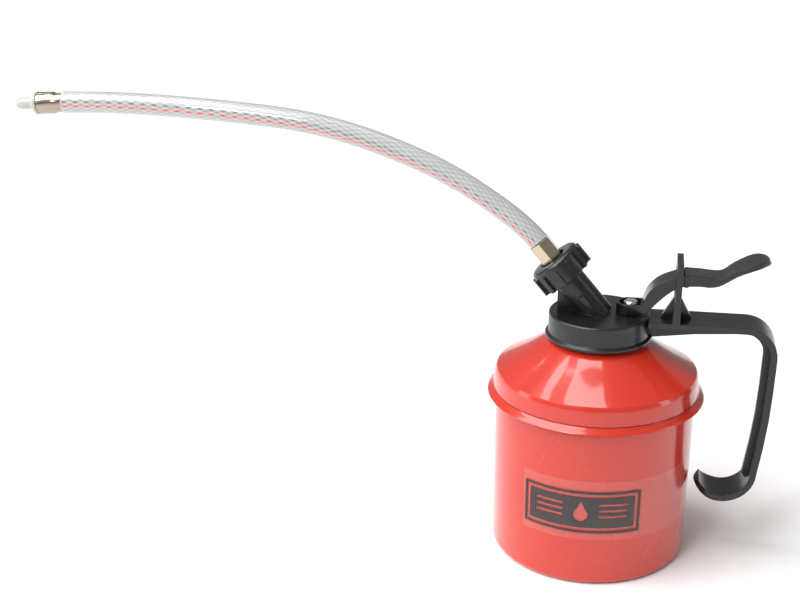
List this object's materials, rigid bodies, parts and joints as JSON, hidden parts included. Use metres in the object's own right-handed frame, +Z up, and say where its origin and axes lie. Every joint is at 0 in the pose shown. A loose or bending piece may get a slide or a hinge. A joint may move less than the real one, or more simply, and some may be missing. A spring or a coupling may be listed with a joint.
{
  "type": "pump oil can",
  "caption": "Round sheet-metal oil can with a thumb-lever pump head, a hooked handle and a long flexible spout.",
  "frame": {"origin": "centre of the can's flat base, on the surface it stands on", "axes": "+Z up the can's axis, +X towards the handle, -X towards the spout; XZ is the plane of symmetry"},
  "size_m": [0.3025, 0.0868, 0.1803],
  "materials": {
    "can_body": "gloss enamel",
    "can_shoulder": "gloss enamel",
    "neck_collar": "plain",
    "label": "clear film",
    "head_gasket": "matt",
    "pump_head": "satin moulding",
    "lever": "gloss moulding",
    "plunger_rod": "bright zinc",
    "gland_bush": "turned",
    "rod_seal": "matt",
    "return_spring": "drawn wire",
    "piston": "turned",
    "piston_cup": "matt",
    "pump_barrel": "drawn tube",
    "foot_valve": "turned",
    "inlet_ball": "polished",
    "suction_tube": "natural",
    "strainer": "turned",
    "outlet_ball": "polished",
    "outlet_spring": "drawn wire",
    "spout_washer": "matt",
    "union_nut": "gloss moulding",
    "hose_adaptor": "turned",
    "spout_hose": "clear braided tube",
    "end_ferrule": "nickel plate",
    "nozzle": "translucent white"
  },
  "bodies": {
    "can": {"can_body": "can_body", "can_shoulder": "can_shoulder", "neck_collar": "neck_collar", "label": "label"},
    "cap_seal": {"head_gasket": "head_gasket"},
    "head": {"pump_head": "pump_head", "gland_bush": "gland_bush", "rod_seal": "rod_seal", "pump_barrel": "pump_barrel", "foot_valve": "foot_valve", "suction_tube": "suction_tube", "strainer": "strainer", "return_spring": "return_spring", "outlet_spring": "outlet_spring"},
    "thumb_lever": {"lever": "lever"},
    "plunger": {"plunger_rod": "plunger_rod", "piston": "piston", "piston_cup": "piston_cup"},
    "inlet_valve": {"inlet_ball": "inlet_ball"},
    "outlet_valve": {"outlet_ball": "outlet_ball"},
    "spout_seal": {"spout_washer": "spout_washer"},
    "nut": {"union_nut": "union_nut"},
    "spout": {"hose_adaptor": "hose_adaptor", "spout_hose": "spout_hose", "end_ferrule": "end_ferrule", "nozzle": "nozzle"}
  },
  "joints": [
    {"name": "head_rise", "type": "slide", "parent": "can", "child": "cap_seal", "axis": [0, 0, 1], "range_m": [0, 0.005]},
    {"name": "head_turn", "type": "hinge", "parent": "cap_seal", "child": "head", "pos_m": [0, 0, 0.094], "axis": [0, 0, 1], "range_deg": [0, 450]},
    {"name": "lever_press", "type": "hinge", "parent": "head", "child": "thumb_lever", "pos_m": [0.0175, 0, 0.1018], "axis": [0, 1, 0], "range_deg": [0, 14], "stiffness_Nm_per_rad": 0.012, "springref_deg": -34.38},
    {"name": "plunger_lift", "type": "slide", "parent": "head", "child": "plunger", "axis": [0, 0, 1], "range_m": [0, 0.00145], "deforming": ["return_spring"]},
    {"name": "inlet_lift", "type": "slide", "parent": "head", "child": "inlet_valve", "axis": [0, 0, 1], "range_m": [0, 0.0012]},
    {"name": "outlet_lift", "type": "slide", "parent": "head", "child": "outlet_valve", "axis": [-0.6561, 0, 0.7547], "range_m": [0, 0.0012], "stiffness_N_per_m": 30, "springref_m": -0.003, "deforming": ["outlet_spring"]},
    {"name": "spout_draw", "type": "slide", "parent": "head", "child": "spout_seal", "axis": [-0.6561, 0, 0.7547], "range_m": [0, 0.005]},
    {"name": "nut_turn", "type": "hinge", "parent": "spout_seal", "child": "nut", "pos_m": [-0.0014, 0, 0.1014], "axis": [-0.6561, 0, 0.7547], "range_deg": [0, 900]},
    {"name": "spout_swivel", "type": "hinge", "parent": "spout_seal", "child": "spout", "pos_m": [-0.0014, 0, 0.1014], "axis": [-0.6561, 0, 0.7547], "continuous": true}
  ],
  "couplings": [
    {"joint": "head_rise", "follows": "head_turn", "m_per_rad": 0.00063662},
    {"joint": "plunger_lift", "follows": "lever_press", "m_per_rad": 0.0055},
    {"joint": "spout_draw", "follows": "nut_turn", "m_per_rad": 0.00031831}
  ]
}
